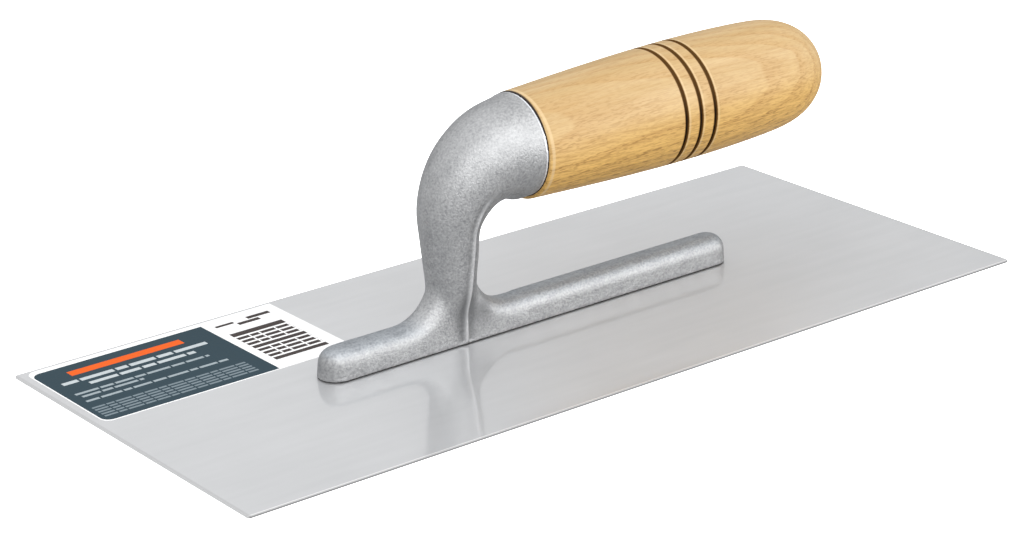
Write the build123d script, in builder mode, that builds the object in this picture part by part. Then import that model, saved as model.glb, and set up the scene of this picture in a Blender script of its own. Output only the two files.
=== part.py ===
from build123d import *
import os
from math import cos, exp, radians, sin

# Steel finishing trowel. Millimetres, +Z up, +X along the blade towards the handle's butt,
# origin on the blade's underside at the middle of the blade.

# Blade
blade_length = 280.0
blade_width = 122.5
blade_thickness = 0.7
blade_corner_radius = 0.8

# Rib of the casting, lying along the blade
rib_length = 151.0
rib_centre_x = -0.4
rib_half_width = 5.75
rib_height = 9.0
rib_draft = 3.0
rib_crest_radius = 4.6
rib_base_chamfer = 0.4

# Post and gooseneck of the casting
post_x = -29.0
bend_radius = 20.3
post_foot_radius = 7.46
post_top_radius = 9.0
bend_end_radius = 15.15
collar_x = -4.1
collar_z = 55.45
collar_radius = 15.5
collar_band_length = 1.2
skin = 0.05
collar_edge_radius = 0.5
foot_levels = (1.1, 6.0, 11.0, 15.0)
foot_width_level = 18.0
post_levels = (19.0, 24.0, 29.0, 34.6)
bend_steps = 6
section_points = 36

# Parting fin down each flank of the post
fin_height = 0.6
fin_foot_share = 0.4
fin_turn = 84.0
fin_spread = 10.0
fin_fade = 1.6

# Webs that run from the post down to the crest of the rib
web_wall = 7.2
web_radius = 12.0

# Rivets through the blade, in one row along the rib
rivet_count = 6
rivet_pitch = 26.0
rivet_head_radius = 3.4
rivet_shank_radius = 2.2
rivet_shank_length = 5.5

# Handle, turned from one piece of wood, on an axis that rises slightly
handle_tilt = 0.856
handle_drop = 0.5
handle_length = 115.8
handle_radii = {0.0: 16.15, 0.3: 17.8, 0.6: 18.35, 0.9: 16.7}
handle_edge_radius = 0.7
butt_length = 25.2
butt_power = 3.175
butt_root = 2.227
body_shares = (0.0, 0.15, 0.3, 0.45, 0.6, 0.72, 0.8)
butt_angles = (20, 35, 50, 62, 72, 80, 85)
groove_stations = (50.2, 55.8, 61.4)
groove_radius = 0.65
groove_sink = 0.15

# Spigot and long screw that hold the handle on
spigot_radius = 7.0
spigot_length = 20.0
socket_depth = 20.5
screw_radius = 3.0
screw_clearance_radius = 3.3
screw_tip_station = 6.0
tapped_floor_station = 5.0
screw_head_radius = 5.0
screw_head_height = 3.6
screw_slot_width = 1.4
screw_slot_depth = 1.6
counterbore_radius = 6.25
counterbore_floor = 108.0
washer_outer_radius = 6.0
washer_thickness = 1.2

# Paper label stuck on the blade
label_left = -137.2
label_right = -53.5
label_front = 15.0
label_back = 60.8
label_thickness = 0.1
label_corner_radius = 3.0

os.makedirs("parts", exist_ok=True)

blade_top = blade_thickness
rib_top = blade_top + rib_height
post_top = post_levels[-1]
bend_angle = 90.0 - handle_tilt
rivet_places = [
    (rib_centre_x + rivet_pitch * (i - (rivet_count - 1) / 2), 0.0) for i in range(rivet_count)
]
handle_axis = (cos(radians(handle_tilt)), 0.0, sin(radians(handle_tilt)))
collar_centre = (collar_x, 0.0, collar_z)
handle_start = (
    collar_x + handle_drop * sin(radians(handle_tilt)),
    0.0,
    collar_z - handle_drop * cos(radians(handle_tilt)),
)
# Local x runs along the handle's axis and local y points up from it.
handle_section = Plane(origin=handle_start, x_dir=handle_axis, z_dir=(0, -1, 0))
collar_plane = Plane(origin=collar_centre, x_dir=(0, 1, 0), z_dir=handle_axis)
collar_section = Plane(origin=collar_centre, x_dir=handle_axis, z_dir=(0, -1, 0))
handle_plane = Plane(origin=handle_start, x_dir=(0, 1, 0), z_dir=handle_axis)
handle_centreline = Axis(handle_start, handle_axis)
collar_centreline = Axis(collar_centre, handle_axis)


def handle_radius(s):
    """Radius of the turned handle at distance s from the collar."""
    share = s / handle_length
    radius = 0.0
    for place, radius_there in handle_radii.items():
        weight = 1.0
        for other in handle_radii:
            if other != place:
                weight *= (share - other) / (place - other)
        radius += radius_there * weight
    u = max(0.0, (s - (handle_length - butt_length)) / butt_length)
    return radius * (1.0 - u**butt_power) ** (1.0 / butt_root)


def neck_outline(radius, half_depth, fin):
    """Closed outline of one neck section: an oval with a soft fin on each flank."""
    points = []
    for i in range(section_points):
        turn = 360.0 * i / section_points
        off_fin = min(abs(turn - fin_turn), abs(turn - (360.0 - fin_turn)))
        bump = fin * exp(-((off_fin / fin_spread) ** 2))
        points.append(
            (
                (radius + bump) * cos(radians(turn)),
                (half_depth + bump) * sin(radians(turn)),
            )
        )
    return points


def neck_plane(x, z, turn):
    """Plane across the neck: local x points to the inside of the bend, local y along Y."""
    a = radians(turn)
    return Plane(origin=(x, 0, z), x_dir=(cos(a), 0, -sin(a)), z_dir=(sin(a), 0, cos(a)))


def neck_sections():
    """Planes and outlines from the foot of the post to the collar."""
    sections = []
    # the foot is as thin as the rib at the blade and round at foot_width_level
    for z in foot_levels:
        share = (z - blade_top) / (foot_width_level - blade_top)
        depth = rib_half_width + (post_foot_radius - rib_half_width) * share - skin
        fin = fin_height * (fin_foot_share + (1 - fin_foot_share) * share)
        sections.append((neck_plane(post_x, z, 0), neck_outline(post_foot_radius, depth, fin)))
    for z in post_levels:
        share = (z - foot_width_level) / (post_top - foot_width_level)
        r = post_foot_radius + (post_top_radius - post_foot_radius) * share
        sections.append((neck_plane(post_x, z, 0), neck_outline(r, r, fin_height)))
    for step in range(1, bend_steps + 1):
        share = step / bend_steps
        turn = bend_angle * share
        x = post_x + bend_radius * (1 - cos(radians(turn)))
        z = post_top + bend_radius * sin(radians(turn))
        r = post_top_radius + (bend_end_radius - post_top_radius) * share
        fin = fin_height * max(0.0, 1 - fin_fade * share)
        sections.append((neck_plane(x, z, turn), neck_outline(r, r, fin)))
    # the last section is just smaller than the collar band that it runs into
    r = collar_radius - skin
    band_start = collar_plane.offset(-collar_band_length).origin
    sections.append((neck_plane(band_start.X, band_start.Z, bend_angle), neck_outline(r, r, 0.0)))
    return sections


# Blade: thin sheet with a row of countersunk rivet holes
with BuildPart() as blade:
    with BuildSketch():
        RectangleRounded(blade_length, blade_width, blade_corner_radius)
    extrude(amount=blade_thickness)
    with Locations(*rivet_places):
        Cone(
            rivet_head_radius,
            rivet_shank_radius,
            blade_thickness,
            align=(Align.CENTER, Align.CENTER, Align.MIN),
            mode=Mode.SUBTRACT,
        )
blade.part.label = "blade"
export_step(blade.part, "parts/blade.step")

# Mounting: one casting of rib, post, gooseneck, collar and spigot
rib_left = rib_centre_x - rib_length / 2
rib_right = rib_centre_x + rib_length / 2
web_top = rib_top + web_radius
rear_head = (post_x - web_wall, web_top)
rear_foot = (rear_head[0] - web_radius, rib_top)
front_head = (post_x + web_wall, web_top)
front_foot = (front_head[0] + web_radius, rib_top)
with BuildPart() as mounting:
    # rib and webs: a plate on edge, its plan ends rounded and its crest domed
    with BuildSketch(Plane.XZ):
        with BuildLine():
            Polyline(front_foot, (rib_right, rib_top), (rib_right, blade_top), (rib_left, blade_top))
            Polyline((rib_left, blade_top), (rib_left, rib_top), rear_foot)
            CenterArc((rear_foot[0], web_top), web_radius, 270, 90)
            Line(rear_head, front_head)
            CenterArc((front_foot[0], web_top), web_radius, 180, 90)
        make_face()
    extrude(amount=rib_half_width + post_foot_radius, both=True)
    with BuildSketch(Plane.XY.offset(blade_top)):
        with Locations((rib_centre_x, 0)):
            SlotOverall(rib_length, 2 * rib_half_width)
    extrude(amount=web_top, taper=rib_draft, mode=Mode.INTERSECT)
    upper = mounting.edges().filter_by_position(Axis.Z, rib_top - skin, web_top - skin)
    crest = upper.filter_by(Axis.X) + upper.filter_by(GeomType.CIRCLE) + upper.filter_by(GeomType.ELLIPSE)
    fillet(crest, rib_crest_radius)
    chamfer(mounting.edges().group_by(Axis.Z)[0], rib_base_chamfer)
    for section_plane, outline in neck_sections():
        with BuildSketch(section_plane):
            with BuildLine():
                Spline(*outline, periodic=True)
            make_face()
    loft()
    with BuildSketch(collar_section) as band:
        with Locations((-collar_band_length / 2, collar_radius / 2)):
            Rectangle(collar_band_length, collar_radius)
        fillet(band.vertices().sort_by(Axis.Z)[-1], collar_edge_radius)
    revolve(axis=collar_centreline)
    with BuildSketch(handle_plane.offset(spigot_length)):
        Circle(spigot_radius)
    extrude(amount=-spigot_length - collar_band_length)
    with BuildSketch(handle_plane.offset(spigot_length)):
        Circle(screw_radius)
    extrude(amount=tapped_floor_station - spigot_length, mode=Mode.SUBTRACT)
    with BuildSketch(Plane.XY.offset(blade_top)):
        with Locations(*rivet_places):
            Circle(rivet_shank_radius)
    extrude(amount=rivet_shank_length, mode=Mode.SUBTRACT)
mounting.part.label = "mounting"
export_step(mounting.part, "parts/mounting.step")

# Rivets: countersunk heads flush with the blade's underside, shanks up into the rib
for number, (rivet_x, rivet_y) in enumerate(rivet_places, start=1):
    with BuildPart(Plane(origin=(rivet_x, rivet_y, 0))) as rivet:
        Cone(
            rivet_head_radius,
            rivet_shank_radius,
            blade_thickness,
            align=(Align.CENTER, Align.CENTER, Align.MIN),
        )
        with BuildSketch(Plane(origin=(rivet_x, rivet_y, blade_top))):
            Circle(rivet_shank_radius)
        extrude(amount=rivet_shank_length)
    rivet.part.label = f"rivet_{number}"
    export_step(rivet.part, f"parts/rivet_{number}.step")

# Handle: turned body with three cut rings, a socket for the spigot and a bore for the screw
butt_start = handle_length - butt_length
outline_stations = [handle_length * share for share in body_shares]
outline_stations += [butt_start + butt_length * sin(radians(angle)) for angle in butt_angles]
outline = [(station, handle_radius(station)) for station in outline_stations]
start_slope = (handle_radius(skin) - handle_radius(0)) / skin
with BuildPart() as handle:
    with BuildSketch(handle_section):
        with BuildLine():
            Spline(*outline, (handle_length, 0), tangents=[(1, start_slope), (0, -1)])
            Polyline((handle_length, 0), (0, 0), outline[0])
        make_face()
    revolve(axis=handle_centreline)
    fillet(handle.edges().sort_by(handle_centreline)[0], handle_edge_radius)
    for station in groove_stations:
        with BuildSketch(handle_section):
            with Locations((station, handle_radius(station) - groove_sink)):
                Circle(groove_radius)
        revolve(axis=handle_centreline, mode=Mode.SUBTRACT)
    with BuildSketch(handle_plane):
        Circle(spigot_radius)
    extrude(amount=socket_depth, mode=Mode.SUBTRACT)
    with BuildSketch(handle_plane):
        Circle(screw_clearance_radius)
    extrude(amount=handle_length, mode=Mode.SUBTRACT)
    with BuildSketch(handle_plane.offset(counterbore_floor)):
        Circle(counterbore_radius)
    extrude(amount=butt_length, mode=Mode.SUBTRACT)
handle.part.label = "handle"
export_step(handle.part, "parts/handle.step")

# Washer on the floor of the counterbore
with BuildPart() as handle_washer:
    with BuildSketch(handle_plane.offset(counterbore_floor)):
        Circle(washer_outer_radius)
        Circle(screw_clearance_radius, mode=Mode.SUBTRACT)
    extrude(amount=washer_thickness)
handle_washer.part.label = "handle_washer"
export_step(handle_washer.part, "parts/handle_washer.step")

# Long screw: slotted head on the washer, shank through the wood into the spigot
screw_seat = counterbore_floor + washer_thickness
with BuildPart() as handle_screw:
    with BuildSketch(handle_plane.offset(screw_tip_station)):
        Circle(screw_radius)
    extrude(amount=screw_seat - screw_tip_station)
    with BuildSketch(handle_plane.offset(screw_seat)):
        Circle(screw_head_radius)
    extrude(amount=screw_head_height)
    fillet(handle_screw.edges().sort_by(handle_centreline)[-1], screw_head_height / 3)
    with BuildSketch(handle_plane.offset(screw_seat + screw_head_height - screw_slot_depth)):
        Rectangle(2 * screw_head_radius, screw_slot_width)
    extrude(amount=screw_slot_depth, mode=Mode.SUBTRACT)
handle_screw.part.label = "handle_screw"
export_step(handle_screw.part, "parts/handle_screw.step")

# Paper label on the blade, between the rib's end and the blade's end
label_middle = ((label_left + label_right) / 2, (label_front + label_back) / 2)
with BuildPart() as blade_label:
    with BuildSketch(Plane(origin=(*label_middle, blade_top))):
        RectangleRounded(label_right - label_left, label_back - label_front, label_corner_radius)
    extrude(amount=label_thickness)
blade_label.part.label = "blade_label"
export_step(blade_label.part, "parts/blade_label.step")
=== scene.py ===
import math

import bmesh
import bpy
import numpy as np
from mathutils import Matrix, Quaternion, Vector, noise as solid_noise


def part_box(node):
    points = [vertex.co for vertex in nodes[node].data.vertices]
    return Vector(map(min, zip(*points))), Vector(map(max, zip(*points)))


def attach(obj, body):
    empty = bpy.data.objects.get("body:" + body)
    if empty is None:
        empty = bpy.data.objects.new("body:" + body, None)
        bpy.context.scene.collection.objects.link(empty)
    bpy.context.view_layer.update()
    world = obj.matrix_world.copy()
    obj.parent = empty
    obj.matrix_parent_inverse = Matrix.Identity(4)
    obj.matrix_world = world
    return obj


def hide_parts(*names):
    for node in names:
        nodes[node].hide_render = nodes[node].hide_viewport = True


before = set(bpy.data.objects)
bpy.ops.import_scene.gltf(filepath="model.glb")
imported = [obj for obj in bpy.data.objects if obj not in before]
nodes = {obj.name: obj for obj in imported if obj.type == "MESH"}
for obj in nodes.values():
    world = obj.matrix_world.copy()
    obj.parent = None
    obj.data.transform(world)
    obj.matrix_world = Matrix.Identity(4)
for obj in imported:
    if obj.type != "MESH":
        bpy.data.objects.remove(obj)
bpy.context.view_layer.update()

MM = 0.001

# ---------------------------------------------------------------- places read from the frame
blade_low, blade_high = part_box("blade")
blade_top = blade_high.z
mounting_low, mounting_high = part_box("mounting")
label_low, label_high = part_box("blade_label")

RIVETS = tuple(f"rivet_{number}" for number in range(1, 7))

# ---------------------------------------------------------------- shape of the CAD model
POST_X = -29.0 * MM
POST_TOP = 34.6 * MM
BEND_RADIUS = 20.3 * MM
COLLAR_X = -4.1 * MM
COLLAR_Z = 55.45 * MM
HANDLE_TILT = math.radians(0.856)
HANDLE_DROP = 0.5 * MM
GROOVES = (50.2 * MM, 55.8 * MM, 61.4 * MM)

# ---------------------------------------------------------------- finish of the casting, and its painted shade
CAST_VOXEL = 0.35 * MM
RIVET_HOLE_MARGIN = 0.8 * MM
FOOT_ROUNDS, SKIN_ROUNDS, END_ROUNDS, RIB_ROUNDS = 260, 14, 30, 40
BULGE_SHARE = 0.15
FIN_TURN_LOW = math.radians(81)
FIN_TURN_HIGH = math.radians(73)
FIN_WIDTH, DIP_WIDTH, HOLLOW_WIDTH = 0.90 * MM, 2.0 * MM, 3.6 * MM
FIN_HEIGHT_MM, DIP_DEPTH_MM, HOLLOW_DEPTH_MM = 0.88, 0.5, 0.9
FOOT_HEIGHT, FOOT_SPREAD = 10 * MM, 5.5 * MM
# widths of the painted shade beside the fin and at its foot; place and size of a painted shade patch beside
# the post's foot
SHADE_WIDTH, FOOT_SHADE_WIDTH = 2.4 * MM, 4.4 * MM
SHADE_PATCH_ASIDE, SHADE_PATCH_WIDTH, SHADE_PATCH_TALL = 8 * MM, 3.4 * MM, 3.6 * MM
WAVE_DEPTH = 0.07 * MM
WAVES_PER_METRE = 160

# ---------------------------------------------------------------- growth rings of the wood
GRAIN_LEAN = math.radians(2.5)
PITH_ASIDE, PITH_BELOW = 45 * MM, 24 * MM
RING_WANDER = 6 * MM
RINGS_PER_METRE = 420

handle_axis = Vector((math.cos(HANDLE_TILT), 0, math.sin(HANDLE_TILT)))
handle_up = Vector((-math.sin(HANDLE_TILT), 0, math.cos(HANDLE_TILT)))
collar_centre = Vector((COLLAR_X, 0, COLLAR_Z))
handle_start = collar_centre - HANDLE_DROP * handle_up

# ---------------------------------------------------------------- camera
CAMERA_LENS = 102.43
CAMERA_AZIMUTH = 37.37
CAMERA_ELEVATION = 20.76
CAMERA_ROLL = -1.485
CAMERA_DISTANCE = 0.868
CAMERA_TARGET = Vector((-0.0011, 0.0072, 0.0139))
SENSOR_WIDTH = 36.0
CLIP_NEAR, CLIP_FAR = 0.05, 60.0

# ---------------------------------------------------------------- lamps and floor
LAMP_TARGET = (0.0, 0.0, 0.03)
KEY_PLACE, KEY_WIDTH, KEY_DEPTH, KEY_WATTS = (0.0, -0.95, 0.80), 2.2, 1.0, 19.5
FILL_PLACE, FILL_WIDTH, FILL_DEPTH, FILL_WATTS = (0.9, -1.1, 0.20), 1.6, 0.5, 9
FLOOR_SIZE = 30
FLOOR_Z = -0.2 * MM


def make_camera():
    data = bpy.data.cameras.new("camera")
    data.lens = CAMERA_LENS
    data.sensor_width = SENSOR_WIDTH
    data.clip_start, data.clip_end = CLIP_NEAR, CLIP_FAR
    data.dof.use_dof = False
    camera = bpy.data.objects.new("camera", data)
    bpy.context.scene.collection.objects.link(camera)
    a, e = math.radians(CAMERA_AZIMUTH), math.radians(CAMERA_ELEVATION)
    back = Vector((-math.sin(a) * math.cos(e), -math.cos(a) * math.cos(e), math.sin(e)))
    camera.location = CAMERA_TARGET + CAMERA_DISTANCE * back
    camera.rotation_mode = "QUATERNION"
    roll = Quaternion((0, 0, 1), math.radians(CAMERA_ROLL))
    camera.rotation_quaternion = (-back).to_track_quat("-Z", "Y") @ roll
    bpy.context.scene.camera = camera


# ---------------------------------------------------------------- material helpers
def new_material(name, color, metallic, roughness):
    """A Principled material: the material, its node tree and its shader."""
    material = bpy.data.materials.new(name)
    material.use_nodes = True
    tree = material.node_tree
    shader = tree.nodes["Principled BSDF"]
    shader.inputs["Base Color"].default_value = (*color, 1)
    shader.inputs["Metallic"].default_value = metallic
    shader.inputs["Roughness"].default_value = roughness
    return material, tree, shader


def place(tree, scale=(1, 1, 1), rotation=(0, 0, 0), location=(0, 0, 0)):
    """Object coordinates in metres, turned, stretched by scale and shifted."""
    coordinate = tree.nodes.new("ShaderNodeTexCoord")
    mapping = tree.nodes.new("ShaderNodeMapping")
    mapping.inputs["Scale"].default_value = scale
    mapping.inputs["Rotation"].default_value = rotation
    mapping.inputs["Location"].default_value = location
    tree.links.new(coordinate.outputs["Object"], mapping.inputs["Vector"])
    return mapping.outputs["Vector"]


def noise(tree, vector, scale, detail=2.0, roughness=0.5, distortion=0.0):
    made = tree.nodes.new("ShaderNodeTexNoise")
    made.inputs["Scale"].default_value = scale
    made.inputs["Detail"].default_value = detail
    made.inputs["Roughness"].default_value = roughness
    made.inputs["Distortion"].default_value = distortion
    tree.links.new(vector, made.inputs["Vector"])
    return made.outputs["Fac"]


def remap(tree, value, low, high, to_low, to_high, smooth=False):
    made = tree.nodes.new("ShaderNodeMapRange")
    made.clamp = True
    if smooth:
        made.interpolation_type = "SMOOTHSTEP"
    for key, number in zip(("From Min", "From Max", "To Min", "To Max"), (low, high, to_low, to_high)):
        made.inputs[key].default_value = number
    tree.links.new(value, made.inputs["Value"])
    return made.outputs["Result"]


def math_node(tree, operation, *values):
    made = tree.nodes.new("ShaderNodeMath")
    made.operation = operation
    for socket, value in zip(made.inputs, values):
        if isinstance(value, (int, float)):
            socket.default_value = value
        else:
            tree.links.new(value, socket)
    return made.outputs["Value"]


def apart(tree, value, centre):
    """How far a value is from a centre, either way."""
    return math_node(tree, "ABSOLUTE", math_node(tree, "SUBTRACT", value, centre))


def blend_color(tree, factor, a, b, mode="MIX"):
    made = tree.nodes.new("ShaderNodeMix")
    made.data_type = "RGBA"
    made.blend_type = mode
    tree.links.new(factor, made.inputs[0])
    for socket, value in zip((made.inputs[6], made.inputs[7]), (a, b)):
        if isinstance(value, tuple):
            socket.default_value = (*value, 1)
        else:
            tree.links.new(value, socket)
    return made.outputs[2]


def bump(tree, height, strength, distance, previous=None):
    made = tree.nodes.new("ShaderNodeBump")
    made.inputs["Strength"].default_value = strength
    made.inputs["Distance"].default_value = distance
    tree.links.new(height, made.inputs["Height"])
    if previous is not None:
        tree.links.new(previous, made.inputs["Normal"])
    return made.outputs["Normal"]


def parts_of(tree, vector):
    made = tree.nodes.new("ShaderNodeSeparateXYZ")
    tree.links.new(vector, made.inputs["Vector"])
    return made.outputs["X"], made.outputs["Y"], made.outputs["Z"]


def mesh_value(tree, name):
    """A value that the mesh carries at its points."""
    made = tree.nodes.new("ShaderNodeAttribute")
    made.attribute_name = name
    return made.outputs["Fac"]


def along_handle(tree):
    """Coordinates with X along the handle's axis from its start, Y across and Z up from the axis."""
    shift = Vector((-handle_start.dot(handle_axis), 0, -handle_start.dot(handle_up)))
    return place(tree, (1, 1, 1), (0, HANDLE_TILT, 0), shift)


# ---------------------------------------------------------------- materials
def cast_aluminium():
    """Grey casting with a fine blasted grain that sparkles, a turned rim at the collar, and painted
    highlights and painted shade.
    """
    material, tree, shader = new_material("cast_aluminium", (0.45, 0.46, 0.47), 1.0, 0.55)
    shader.inputs["Specular Tint"].default_value = (0.5, 0.51, 0.53, 1)
    p = place(tree)
    grain = noise(tree, p, 2400, 2.0, 0.55)
    pits = noise(tree, p, 1500, 1.0, 0.5)
    clouds = noise(tree, p, 260, 3.0, 0.6)
    speckle = math_node(tree, "MULTIPLY_ADD", pits, 0.70, math_node(tree, "MULTIPLY", clouds, 0.30))
    dark_grain, light_grain = (0.285, 0.289, 0.295), (0.480, 0.483, 0.487)
    color = blend_color(tree, remap(tree, speckle, 0.30, 0.70, 0, 1), dark_grain, light_grain)
    # painted shade: the top of the rib is painted a little darker and bluer than its flanks
    x, _, height = parts_of(tree, p)
    beside_post = apart(tree, x, POST_X)
    painted_crest_shade = math_node(tree, "MULTIPLY", remap(tree, height, 6.5 * MM, 9.0 * MM, 0, 1, True),
                      remap(tree, height, 12 * MM, 15 * MM, 1, 0, True))
    painted_crest_shade = math_node(tree, "MULTIPLY", painted_crest_shade, remap(tree, beside_post, 10 * MM, 20 * MM, 0, 1, True))
    color = blend_color(tree, painted_crest_shade, color, (0.87, 0.91, 0.95), "MULTIPLY")
    # painted highlight and painted shade: the parting fin is painted bright, the valley beside it is painted
    # dark
    fin, valley = mesh_value(tree, "fin"), mesh_value(tree, "valley")
    color = blend_color(tree, math_node(tree, "MULTIPLY", valley, 0.75), color, (0.13, 0.133, 0.137))
    color = blend_color(tree, math_node(tree, "MULTIPLY", fin, 0.5), color, (0.80, 0.80, 0.81))
    # a turned rim at the collar, painted pale and bluish as a painted reflection; painted shade as a dark gap
    # to the wood and a dark line where the rib meets the blade
    station, _, up = parts_of(tree, along_handle(tree))
    at_collar = remap(tree, up, -20 * MM, -18 * MM, 0, 1)
    rim = math_node(tree, "MULTIPLY", at_collar, remap(tree, station, -0.85 * MM, -0.7 * MM, 0, 1, True))
    gap = math_node(tree, "MULTIPLY", at_collar, remap(tree, station, -0.12 * MM, -0.04 * MM, 0, 1, True))
    color = blend_color(tree, rim, color, (0.82, 0.84, 0.88))
    crevice = remap(tree, height, blade_top + 0.25 * MM, blade_top + 0.45 * MM, 1, 0, True)
    color = blend_color(tree, math_node(tree, "MAXIMUM", gap, crevice), color, (0.05, 0.045, 0.04))
    tree.links.new(color, shader.inputs["Base Color"])
    tree.links.new(math_node(tree, "MULTIPLY_ADD", rim, -0.3, 0.8), shader.inputs["Metallic"])
    rough = remap(tree, pits, 0.3, 0.7, 0.48, 0.60)
    tree.links.new(math_node(tree, "MULTIPLY_ADD", rim, -0.3, rough), shader.inputs["Roughness"])
    cast_skin = math_node(tree, "SUBTRACT", 1.0, rim)
    normal = bump(tree, math_node(tree, "MULTIPLY", cast_skin, pits), 0.5, 0.16 * MM)
    normal = bump(tree, math_node(tree, "MULTIPLY", cast_skin, grain), 0.8, 0.12 * MM, normal)
    tree.links.new(normal, shader.inputs["Normal"])
    return material


def blade_steel():
    """Satin ground sheet: fine lines along the blade, faint clouds of handling, a thin film of oil."""
    material, tree, shader = new_material("blade_steel", (0.48, 0.48, 0.48), 0.45, 0.5)
    shader.inputs["Coat Weight"].default_value = 1.0
    shader.inputs["Coat IOR"].default_value = 2.8
    shader.inputs["Coat Roughness"].default_value = 0.10
    lines = noise(tree, place(tree, (6, 900, 900)), 4.0, 3.0, 0.6)
    clouds = noise(tree, place(tree), 22, 4.0, 0.55)
    streaks = noise(tree, place(tree, (1, 9, 9)), 30, 3.0, 0.5)
    shade = math_node(tree, "MULTIPLY_ADD", clouds, 0.6, math_node(tree, "MULTIPLY", streaks, 0.4))
    darker, lighter = (0.620, 0.627, 0.637), (0.670, 0.677, 0.687)
    color = blend_color(tree, remap(tree, shade, 0.35, 0.65, 0, 1), darker, lighter)
    x, y, z = parts_of(tree, place(tree))
    middle = (blade_low + blade_high) / 2
    half = (blade_high - blade_low) / 2
    from_end = math_node(tree, "SUBTRACT", half.x, apart(tree, x, middle.x))
    from_side = math_node(tree, "SUBTRACT", half.y, apart(tree, y, middle.y))
    # painted highlight on top of the filed front edge, painted shade on the faces of both long edges below,
    # and both ends darker near their edges
    from_front = math_node(tree, "SUBTRACT", y, blade_low.y)
    dressed_edge_highlight = remap(tree, from_front, 0.50 * MM, 0.62 * MM, 1, 0)
    color = blend_color(tree, dressed_edge_highlight, color, (0.98, 0.98, 0.98))
    darker_end = remap(tree, from_end, 0.55 * MM, 0.95 * MM, 0.6, 0)
    color = blend_color(tree, darker_end, color, (0.46, 0.462, 0.465))
    side_face_shade = math_node(tree, "MULTIPLY", remap(tree, z, blade_top - 0.36 * MM, blade_top - 0.30 * MM, 1, 0),
                        remap(tree, from_side, 0.1 * MM, 0.3 * MM, 1, 0))
    color = blend_color(tree, side_face_shade, color, (0.36, 0.362, 0.365))
    tree.links.new(color, shader.inputs["Base Color"])
    tree.links.new(remap(tree, clouds, 0.3, 0.7, 0.42, 0.50), shader.inputs["Roughness"])
    tree.links.new(bump(tree, lines, 0.05, 0.05 * MM), shader.inputs["Normal"])
    return material


def rivet_aluminium():
    """Peened rivet heads, brushed with the sheet they are ground flush with."""
    material, tree, shader = new_material("rivet_aluminium", (0.6, 0.61, 0.62), 1.0, 0.35)
    lines = noise(tree, place(tree, (8, 700, 700)), 4.0, 3.0, 0.6)
    clouds = noise(tree, place(tree), 500, 3.0, 0.55)
    color = blend_color(tree, remap(tree, clouds, 0.3, 0.7, 0, 1), (0.5, 0.51, 0.52), (0.68, 0.69, 0.7))
    tree.links.new(color, shader.inputs["Base Color"])
    tree.links.new(remap(tree, clouds, 0.3, 0.7, 0.3, 0.48), shader.inputs["Roughness"])
    tree.links.new(bump(tree, lines, 0.2, 0.05 * MM), shader.inputs["Normal"])
    return material


def screw_steel():
    """Bright zinc with cloudy patches."""
    material, tree, shader = new_material("screw_steel", (0.62, 0.62, 0.64), 1.0, 0.25)
    clouds = noise(tree, place(tree), 350, 3.0, 0.55)
    color = blend_color(tree, remap(tree, clouds, 0.3, 0.7, 0, 1), (0.5, 0.51, 0.53), (0.72, 0.72, 0.7))
    tree.links.new(color, shader.inputs["Base Color"])
    tree.links.new(remap(tree, clouds, 0.3, 0.7, 0.2, 0.38), shader.inputs["Roughness"])
    tree.links.new(bump(tree, clouds, 0.1, 0.1 * MM), shader.inputs["Normal"])
    return material


def wood_grain(tree, station, across, up, underside_shade):
    """Colour of the bare wood, and its fibres: rings, strands, and dashes of open pores."""
    grain_way = (0, HANDLE_TILT - GRAIN_LEAN, 0)
    fibre = noise(tree, place(tree, (50, 1500, 1500), grain_way), 1.0, 4.0, 0.7)
    pores = noise(tree, place(tree, (420, 2600, 2600), grain_way), 1.0, 1.0, 0.5)
    drift = noise(tree, place(tree, (10, 45, 45)), 1.0, 3.0, 0.5)
    broad = noise(tree, place(tree, (12, 110, 110), grain_way), 1.0, 3.0, 0.5)
    # distance from the trunk's pith, which lies below and beside the handle
    y = math_node(tree, "MULTIPLY_ADD", station, 0.06, math_node(tree, "ADD", across, -PITH_ASIDE))
    z = math_node(tree, "MULTIPLY_ADD", station, -0.10, math_node(tree, "ADD", up, PITH_BELOW))
    square = math_node(tree, "ADD", math_node(tree, "MULTIPLY", y, y), math_node(tree, "MULTIPLY", z, z))
    ring = math_node(tree, "MULTIPLY_ADD", drift, RING_WANDER, math_node(tree, "SQRT", square))
    wave = math_node(tree, "FRACT", math_node(tree, "MULTIPLY", ring, RINGS_PER_METRE))
    late = math_node(tree, "MULTIPLY", remap(tree, wave, 0.25, 0.9, 0, 1), remap(tree, wave, 0.92, 1.0, 1, 0))
    sand, straw, amber = (0.416, 0.281, 0.120), (0.484, 0.350, 0.186), (0.74, 0.437, 0.105)
    base = blend_color(tree, remap(tree, broad, 0.3, 0.7, 0, 1), sand, straw)
    # painted shade: the wood is painted deeper towards its lower side, and its fibres show more there
    base = blend_color(tree, math_node(tree, "MULTIPLY", underside_shade, 0.9), base, amber)
    color = blend_color(tree, math_node(tree, "MULTIPLY", late, 0.30), base, (0.38, 0.205, 0.060))
    strands = remap(tree, fibre, 0.42, 0.68, 0, 0.7)
    strands = math_node(tree, "MULTIPLY", strands, remap(tree, underside_shade, 0, 1, 0.5, 1.0))
    color = blend_color(tree, strands, color, (0.33, 0.180, 0.055))
    in_late = remap(tree, late, 0.2, 0.9, 0.4, 1.0)
    in_late = math_node(tree, "MULTIPLY", in_late, remap(tree, underside_shade, 0, 1, 0.35, 1.0))
    dashes = math_node(tree, "MULTIPLY", remap(tree, pores, 0.50, 0.62, 0, 0.85), in_late)
    return blend_color(tree, dashes, color, (0.22, 0.11, 0.03)), fibre


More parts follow.
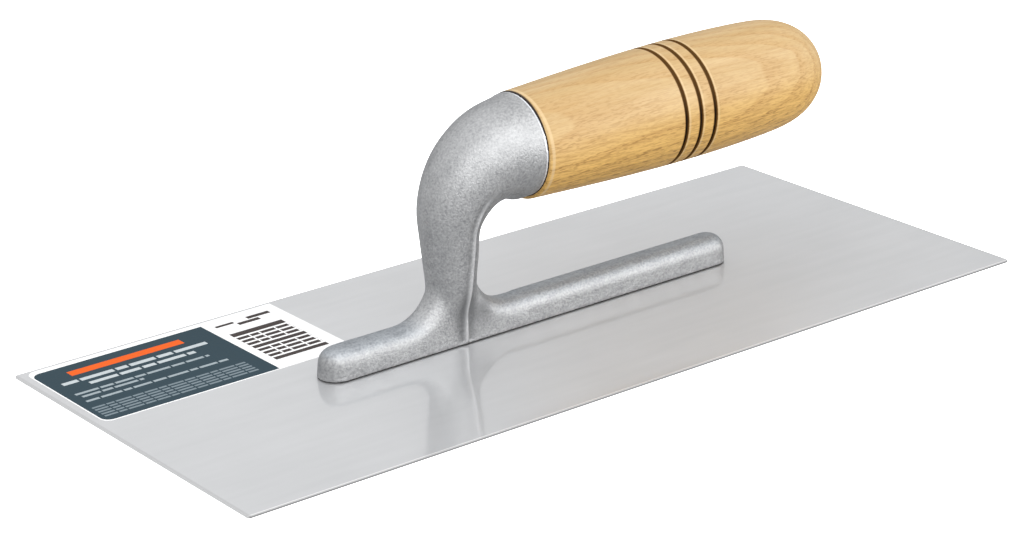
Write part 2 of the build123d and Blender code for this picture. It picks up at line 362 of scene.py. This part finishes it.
def groove_marks(tree, station, underside_shade):
    """Scorched grooves: brown sides, black floors with painted shade that blackens them towards the lower
    side, and a pale painted highlight after each one and at the collar.
    """
    # painted shade: the groove floors are painted blacker towards the lower side
    scorch_and_shade = remap(tree, underside_shade, 0.0, 0.4, 0.55, 1.0)
    # painted highlights: a pale line near the collar and after each groove
    lip_highlight = remap(tree, apart(tree, station, 1.4 * MM), 0.3 * MM, 0.7 * MM, 0.5, 0, True)
    brown, black = None, None
    for groove in GROOVES:
        past = math_node(tree, "SUBTRACT", station, groove)
        off = math_node(tree, "ABSOLUTE", past)
        soft = remap(tree, off, 0.60 * MM, 1.00 * MM, 0.9, 0, True)
        hard = math_node(tree, "MULTIPLY", remap(tree, off, 0.46 * MM, 0.74 * MM, 1, 0, True), scorch_and_shade)
        pale = remap(tree, apart(tree, past, 1.2 * MM), 0.2 * MM, 0.45 * MM, 0.42, 0, True)
        brown = soft if brown is None else math_node(tree, "MAXIMUM", brown, soft)
        black = hard if black is None else math_node(tree, "MAXIMUM", black, hard)
        lip_highlight = math_node(tree, "MAXIMUM", lip_highlight, pale)
    return brown, black, lip_highlight


def collar_seam(tree, station, across, up):
    """Painted shade in the joint on the handle's end face, round the casting's collar."""
    above_collar = math_node(tree, "ADD", up, -HANDLE_DROP)
    square = math_node(tree, "MULTIPLY", above_collar, above_collar)
    radius = math_node(tree, "SQRT", math_node(tree, "MULTIPLY_ADD", across, across, square))
    return math_node(tree, "MULTIPLY", remap(tree, radius, 15.62 * MM, 15.80 * MM, 1, 0, True),
                     remap(tree, station, 0.5 * MM, 0.9 * MM, 1, 0))


def turned_wood():
    """Pale varnished wood: growth rings cut lengthwise, fibres, short pores and scorched grooves."""
    material, tree, shader = new_material("turned_wood", (0.76, 0.52, 0.25), 0.0, 0.5)
    station, across, up = parts_of(tree, along_handle(tree))
    # painted shade: how much the lower side of the handle is painted deeper
    underside_shade = remap(tree, up, 12 * MM, -14 * MM, 0, 1, True)
    color, fibre = wood_grain(tree, station, across, up, underside_shade)
    brown, black, lip_highlight = groove_marks(tree, station, underside_shade)
    # painted shade in the collar joint joins the black of the groove floors
    black = math_node(tree, "MAXIMUM", black, collar_seam(tree, station, across, up))
    # painted highlight: the pale lines after the grooves and at the collar
    color = blend_color(tree, lip_highlight, color, (0.62, 0.47, 0.27))
    color = blend_color(tree, brown, color, (0.16, 0.07, 0.016))
    color = blend_color(tree, black, color, (0.016, 0.008, 0.003))
    tree.links.new(color, shader.inputs["Base Color"])
    rough = remap(tree, fibre, 0.3, 0.7, 0.42, 0.54)
    tree.links.new(math_node(tree, "MAXIMUM", rough, brown), shader.inputs["Roughness"])
    tree.links.new(remap(tree, brown, 0, 1, 0.3, 0.02), shader.inputs["Specular IOR Level"])
    tree.links.new(bump(tree, fibre, 0.15, 0.1 * MM), shader.inputs["Normal"])
    return material


def printed(name, color, roughness=0.7):
    """Ink or paper of the label, with a faint mottle."""
    material, tree, shader = new_material(name, color, 0.0, roughness)
    shader.inputs["Specular IOR Level"].default_value = 0.12
    mottle = noise(tree, place(tree), 900, 3.0, 0.6)
    darker = tuple(0.88 * c for c in color)
    mottled = blend_color(tree, remap(tree, mottle, 0.3, 0.7, 0, 1), darker, color)
    tree.links.new(mottled, shader.inputs["Base Color"])
    rough = remap(tree, mottle, 0.3, 0.7, roughness - 0.06, roughness + 0.08)
    tree.links.new(rough, shader.inputs["Roughness"])
    tree.links.new(bump(tree, mottle, 0.06, 0.1 * MM), shader.inputs["Normal"])
    return material


def paint(obj, material):
    obj.data.materials.clear()
    obj.data.materials.append(material)


def add_piece(name, mesh, material, slot, *replaced):
    """A finished mesh as a piece of the trowel."""
    mesh.polygons.foreach_set("use_smooth", np.ones(len(mesh.polygons), bool))
    piece = bpy.data.objects.new(name, mesh)
    bpy.context.scene.collection.objects.link(piece)
    paint(piece, material)
    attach(piece, "root")
    if replaced:
        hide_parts(*replaced)
    return piece


# ---------------------------------------------------------------- the casting
def voxel_copy(source, voxel):
    """An even mesh of squares over the outside of a CAD node."""
    piece = bpy.data.objects.new("voxel_copy", source.data.copy())
    bpy.context.scene.collection.objects.link(piece)
    remesh = piece.modifiers.new("voxels", "REMESH")
    remesh.mode = "VOXEL"
    remesh.voxel_size = voxel
    graph = bpy.context.evaluated_depsgraph_get()
    mesh = bpy.data.meshes.new_from_object(piece.evaluated_get(graph))
    bpy.data.objects.remove(piece)
    return mesh


def relaxed(points, edges, weight, rounds):
    """Points drawn towards the mean of their neighbours, each by its weight."""
    a, b = edges.T
    count = np.bincount(edges.ravel(), minlength=len(points))
    for _ in range(rounds):
        sums = [np.bincount(a, points[b, k], len(points)) + np.bincount(b, points[a, k], len(points))
                for k in range(3)]
        total = np.stack(sums, axis=1)
        points = points + 0.5 * weight[:, None] * (total / count[:, None] - points)
    return points


def ramp(value, start, end):
    """Smooth step from 0 at start to 1 at end."""
    t = np.clip((value - start) / (end - start), 0, 1)
    return t * t * (3 - 2 * t)


def bell(distance, width):
    """1 where the distance is zero, falling off smoothly over a width."""
    return np.exp(-((distance / width) ** 2))


def neck_places(points):
    """For each point: distance along the neck from the blade, distance inwards of its centreline, and Y."""
    x, y, z = points.T
    bend_x = POST_X + BEND_RADIUS
    turn = np.arctan2(np.maximum(z - POST_TOP, 0), bend_x - x)
    turn = np.clip(np.where(z > POST_TOP, turn, 0), 0, math.pi / 2)
    straight = x - POST_X
    curved = BEND_RADIUS - np.hypot(z - POST_TOP, x - bend_x)
    inward = np.where(z > POST_TOP, curved, straight)
    along = np.minimum(z, POST_TOP) + BEND_RADIUS * turn
    return along, inward, y


def mesh_points(mesh, layer="vertices", field="co"):
    values = np.empty(len(mesh.vertices) * 3, np.float32)
    getattr(mesh, layer).foreach_get(field, values)
    return values.reshape(-1, 3).astype(float)


def mesh_edges(mesh):
    ends = np.empty(len(mesh.edges) * 2, np.int32)
    mesh.edges.foreach_get("vertices", ends)
    return ends.reshape(-1, 2)


def move_points(mesh, points):
    mesh.vertices.foreach_set("co", points.ravel().astype(np.float32))
    mesh.update()


def add_values(mesh, name, values):
    layer = mesh.attributes.new(name, "FLOAT", "POINT")
    layer.data.foreach_set("value", values.astype(np.float32))


def outside_rivet_holes(points):
    """0 on the walls of the blind holes that hold the rivets, which keep their size, and 1 elsewhere."""
    outside = np.ones(len(points))
    for name in RIVETS:
        low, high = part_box(name)
        far = np.hypot(points[:, 0] - (low.x + high.x) / 2, points[:, 1] - (low.y + high.y) / 2)
        outside[(far < (high.x - low.x) / 2) & (points[:, 2] < high.z + RIVET_HOLE_MARGIN)] = 0
    return outside


def free_skin(points):
    """1 where the casting may change, 0 at the blade, at the collar, in the handle and in the rivet holes."""
    station = (points - np.array(handle_start)) @ np.array(handle_axis)
    above_blade = ramp(points[:, 2], blade_top + 0.5 * MM, blade_top + 2.0 * MM)
    return above_blade * ramp(-station, 1.2 * MM, 2.6 * MM) * outside_rivet_holes(points)


def softened(points, edges, normals, free):
    """Points with the hollows at the post's foot filled, the bulges mostly kept, and the rib rounded."""
    reach = 1 - ramp(np.abs(points[:, 0] - POST_X), 18 * MM, 28 * MM)
    height = ramp(points[:, 2], blade_top + 1.5 * MM, blade_top + 5 * MM)
    height = height * (1 - ramp(points[:, 2], 24 * MM, 34 * MM))
    filled = relaxed(points, edges, free * reach * height, FOOT_ROUNDS)
    gain = ((filled - points) * normals).sum(1)
    points = points + np.where(gain > 0, gain, BULGE_SHARE * gain)[:, None] * normals
    points = relaxed(points, edges, free, SKIN_ROUNDS)
    middle = (mounting_low.x + mounting_high.x) / 2
    rib_half = (mounting_high.x - mounting_low.x) / 2
    ends = ramp(np.abs(points[:, 0] - middle), rib_half - 12 * MM, rib_half - 4 * MM)
    points = relaxed(points, edges, free * ends, END_ROUNDS)
    rib = (1 - ramp(points[:, 2], 10 * MM, 13 * MM)) * ramp(np.abs(points[:, 0] - POST_X), 12 * MM, 20 * MM)
    return relaxed(points, edges, free * rib, RIB_ROUNDS)


def beside_fin(points):
    """For each point: distance from the parting fin's line, share of the fin's length, share of its foot."""
    along, inward, y = neck_places(points)
    around = np.arctan2(np.abs(y), inward)
    turn = FIN_TURN_LOW + (FIN_TURN_HIGH - FIN_TURN_LOW) * ramp(points[:, 2], 2 * MM, 32 * MM)
    off = (around - turn) * np.hypot(y, inward)
    length = ramp(along, blade_top + 0.2 * MM, blade_top + 1.5 * MM) * (1 - ramp(along, 38 * MM, 54 * MM))
    length = length * (1 - ramp(np.abs(inward), 5 * MM, 9 * MM))
    return off, length, bell(points[:, 2] - FOOT_HEIGHT, FOOT_SPREAD)


def valley_shade(points, off, length, at_foot, fin):
    """How much painted shade the casting gets beside its parting fin, and in a patch next to the post's foot.
    """
    shade = bell(off, SHADE_WIDTH) * length
    shade = shade + 1.1 * bell(off, FOOT_SHADE_WIDTH) * at_foot * length
    patch_x = (points[:, 0] - POST_X - SHADE_PATCH_ASIDE) / SHADE_PATCH_WIDTH
    patch_z = (points[:, 2] - FOOT_HEIGHT) / SHADE_PATCH_TALL
    shade = shade + np.exp(-(patch_x ** 2) - patch_z ** 2)
    return np.clip(0.9 * shade - 1.5 * fin, 0, 1)


def make_casting():
    """The mounting with the soft blends, parting fin and slight waviness of a sand casting."""
    mesh = voxel_copy(nodes["mounting"], CAST_VOXEL)
    points = mesh_points(mesh)
    free = free_skin(points)
    points = softened(points, mesh_edges(mesh), mesh_points(mesh, "vertex_normals", "vector"), free)
    move_points(mesh, points)
    normals = mesh_points(mesh, "vertex_normals", "vector")

    # parting fin down each flank, with a shallow valley beside it
    off, length, at_foot = beside_fin(points)
    fin = bell(off, FIN_WIDTH) * length
    dip = bell(off, DIP_WIDTH) * length
    hollow = bell(off, HOLLOW_WIDTH) * at_foot * length
    raised = (FIN_HEIGHT_MM * fin - DIP_DEPTH_MM * dip - HOLLOW_DEPTH_MM * hollow) * MM
    points = points + raised[:, None] * normals
    # the material paints a highlight along the fin from its share, and shade beside it from the valley value
    add_values(mesh, "fin", fin)
    add_values(mesh, "valley", valley_shade(points, off, length, at_foot, fin))

    # waviness of the mould
    wave = np.array([solid_noise.noise(Vector(p) * WAVES_PER_METRE) for p in points])
    points = points + (WAVE_DEPTH * wave * free)[:, None] * normals
    move_points(mesh, points)
    return mesh


# ---------------------------------------------------------------- the label
def slab(bm, left, right, front, back, low, high, radius=0.0, corners=(1, 1, 1, 1)):
    """A thin plate with rounded corners (front-left, front-right, back-right, back-left) added to bm."""
    outline = []
    middles = ((left, front, 180), (right, front, 270), (right, back, 0), (left, back, 90))
    for (x, y, start), rounded in zip(middles, corners):
        r = radius if rounded else 0.0
        cx = x + r if x == left else x - r
        cy = y + r if y == front else y - r
        steps = 8 if r else 0
        for i in range(steps + 1):
            a = math.radians(start + (90 * i / steps if steps else 0))
            outline.append((cx + r * math.cos(a), cy + r * math.sin(a)))
    lower = [bm.verts.new((x, y, low)) for x, y in outline]
    upper = [bm.verts.new((x, y, high)) for x, y in outline]
    bm.faces.new(upper)
    bm.faces.new(reversed(lower))
    for i in range(len(outline)):
        j = (i + 1) % len(outline)
        bm.faces.new((lower[i], lower[j], upper[j], upper[i]))


def label_place(u, v):
    """A point of the label from shares of its length and width."""
    return label_low.x + u * (label_high.x - label_low.x), label_low.y + v * (label_high.y - label_low.y)


def finish_label(name, bm, material):
    """The mesh in bm as a flat-shaded piece of the label; the paper stands in for the CAD label."""
    mesh = bpy.data.meshes.new(name)
    bm.to_mesh(mesh)
    bm.free()
    replaced = ("blade_label",) if name == "label_paper" else ()
    piece = add_piece(name, mesh, material, "label_paper", *replaced)
    piece.data.polygons.foreach_set("use_smooth", np.zeros(len(mesh.polygons), bool))
    return piece


def bars(name, material, rows, top):
    """Plain printed bars; a row is its place across, thickness, and the ends of each bar along the label."""
    bm = bmesh.new()
    for middle, thickness, spans in rows:
        for start, end in spans:
            left, front = label_place(start, middle - thickness / 2)
            right, back = label_place(end, middle + thickness / 2)
            slab(bm, left, right, front, back, label_low.z + 0.05 * MM, top)
    return finish_label(name, bm, material)


def broken(start, end, lengths, gap):
    """Ends of the bars that stand in for the words of one line."""
    spans, at, i = [], start, 0
    while at < end:
        stop = min(at + lengths[i % len(lengths)], end)
        spans.append((at, stop))
        at, i = stop + gap, i + 1
    return spans


def make_paper_and_panel(film):
    """White paper with a dark panel over most of it; film is the height of the panel's face."""
    border, bare_edge, corner = 0.4 * MM, 0.7 * MM, 3 * MM
    panel_right, panel_back = 0.69, 0.934
    rounded_left = (1, 0, 0, 1)
    bm = bmesh.new()
    paper_back = label_high.y - bare_edge
    slab(bm, label_low.x, label_high.x, label_low.y, paper_back,
         label_low.z, film - 0.02 * MM, corner, rounded_left)
    finish_label("label_paper", bm, printed("label_white", (0.84, 0.84, 0.84)))
    bm = bmesh.new()
    right, back = label_place(panel_right, panel_back)
    slab(bm, label_low.x + border, right, label_low.y + border, back,
         label_low.z + 0.05 * MM, film, corner, rounded_left)
    finish_label("label_panel", bm, printed("label_slate", (0.028, 0.050, 0.064)))


def make_lines(ink):
    """A plain stripe and plain broken bars on the panel, in place of its printing."""
    bars("label_stripe", printed("label_orange", (0.70, 0.105, 0.012)),
         [(0.80, 0.075, [(0.115, 0.565)])], ink)
    bold = [
        (0.675, 0.042, broken(0.05, 0.635, (0.06, 0.13, 0.045, 0.10), 0.010)),
        (0.592, 0.038, broken(0.13, 0.55, (0.11, 0.08, 0.05), 0.010)),
    ]
    fine = [
        (0.485, 0.026, broken(0.04, 0.57, (0.09, 0.05, 0.07, 0.04), 0.008)),
        (0.430, 0.026, broken(0.05, 0.29, (0.07, 0.04, 0.09), 0.008)),
        (0.350, 0.026, broken(0.04, 0.60, (0.05, 0.08, 0.03, 0.07), 0.008)),
    ]
    dense_top, dense_step = 0.235, 0.038
    dense_words = broken(0.025, 0.63, (0.05, 0.03, 0.06, 0.04), 0.006)
    dense = [(dense_top - dense_step * i, 0.020, dense_words) for i in range(5)]
    bars("label_lines", printed("label_pale", (0.45, 0.49, 0.51)), bold, ink)
    bars("label_small_lines", printed("label_grey", (0.29, 0.335, 0.36)), fine, ink)
    bars("label_dense_lines", printed("label_faint", (0.165, 0.205, 0.23)), dense, ink)


def make_table(film):
    """A plain table on the white end of the paper, and three short marks above it."""
    left, right, table_top, row_gap, full_row = 0.725, 0.945, 0.693, 0.022, 0.04
    heights = (0.060, 0.038, 0.038, 0.038, 0.045, 0.038, 0.038, 0.038, 0.045)
    table, at = [], table_top
    for height in heights:
        spans = [(left, right)] if height > full_row else broken(left, right, (0.05, 0.035, 0.06), 0.006)
        table.append((at - height / 2, height, spans))
        at -= height + row_gap
    marks = [(0.855, 0.030, [(0.725, 0.80)]), (0.81, 0.04, [(0.805, 0.895)]), (0.865, 0.04, [(0.86, 0.955)])]
    bars("label_table", printed("label_brown_black", (0.055, 0.045, 0.043)), table + marks, film)


def make_label():
    film = label_high.z - 0.03 * MM
    ink = label_high.z - 0.015 * MM
    make_paper_and_panel(film)
    make_lines(ink)
    make_table(film)


# ---------------------------------------------------------------- studio
def make_world():
    """A studio sky: bright overhead, dimmer at the horizon and below it, and brighter to the left."""
    world = bpy.data.worlds.new("studio")
    bpy.context.scene.world = world
    world.use_nodes = True
    tree = world.node_tree
    background = tree.nodes["Background"]
    coordinate = tree.nodes.new("ShaderNodeTexCoord")
    x, y, z = parts_of(tree, coordinate.outputs["Generated"])
    low = remap(tree, z, -0.25, 0.12, 0.72, 0.56, True)
    rising = remap(tree, z, 0.12, 0.40, 0.0, 0.18, True)
    high = math_node(tree, "ADD", rising, remap(tree, z, 0.45, 0.85, 0.0, 0.55, True))
    a = math.radians(CAMERA_AZIMUTH)
    aside = math_node(tree, "MULTIPLY_ADD", x, math.cos(a), math_node(tree, "MULTIPLY", y, -math.sin(a)))
    slope = math_node(tree, "MULTIPLY_ADD", aside, -0.4, 1.0)
    level = math_node(tree, "MULTIPLY", math_node(tree, "ADD", low, high), slope)
    tree.links.new(level, background.inputs["Strength"])
    background.inputs["Color"].default_value = (0.985, 0.99, 1.0, 1)


def add_softbox(name, location, target, width, depth, watts, spared):
    """A rectangular lamp aimed at target; it passes the spared piece by, so that it does not glare."""
    data = bpy.data.lights.new(name, "AREA")
    data.shape = "RECTANGLE"
    data.size, data.size_y = width, depth
    data.energy = watts
    light = bpy.data.objects.new(name, data)
    bpy.context.scene.collection.objects.link(light)
    light.location = location
    light.rotation_mode = "QUATERNION"
    light.rotation_quaternion = (Vector(target) - Vector(location)).to_track_quat("-Z", "Y")
    left_out = bpy.data.collections.new(name + "_left_out")
    left_out.objects.link(spared)
    left_out.collection_objects[0].light_linking.link_state = "EXCLUDE"
    light.light_linking.receiver_collection = left_out


def make_floor():
    """White paper that the camera sees but that throws no light on the trowel."""
    bpy.ops.mesh.primitive_plane_add(size=FLOOR_SIZE, location=(0, 0, FLOOR_Z))
    floor = bpy.context.object
    floor.name = "floor"
    material, _, shader = new_material("floor_paper", (0.93, 0.93, 0.93), 0.0, 0.9)
    shader.inputs["Emission Color"].default_value = (1, 1, 1, 1)
    shader.inputs["Emission Strength"].default_value = 0.9
    paint(floor, material)
    floor.visible_diffuse = False
    floor.visible_glossy = False


def soften_blade_edges(blade):
    """The sheet's cut edges, rounded with a file."""
    weld = blade.modifiers.new("weld", "WELD")
    weld.merge_threshold = 0.001 * MM
    bevel = blade.modifiers.new("dressed_edge_highlight", "BEVEL")
    bevel.width = 0.28 * MM
    bevel.segments = 2
    bevel.limit_method = "ANGLE"
    bevel.angle_limit = math.radians(60)
    bevel.harden_normals = True


bpy.context.scene.view_settings.view_transform = "Standard"
make_camera()
make_world()
make_floor()
add_softbox("key", KEY_PLACE, LAMP_TARGET, KEY_WIDTH, KEY_DEPTH, KEY_WATTS, nodes["blade"])
add_softbox("fill", FILL_PLACE, LAMP_TARGET, FILL_WIDTH, FILL_DEPTH, FILL_WATTS, nodes["blade"])
paint(nodes["blade"], blade_steel())
soften_blade_edges(nodes["blade"])
paint(nodes["handle"], turned_wood())
steel = screw_steel()
paint(nodes["handle_screw"], steel)
paint(nodes["handle_washer"], steel)
rivet = rivet_aluminium()
for name in RIVETS:
    paint(nodes[name], rivet)
add_piece("mounting_casting", make_casting(), cast_aluminium(), "cast_aluminium", "mounting")
make_label()
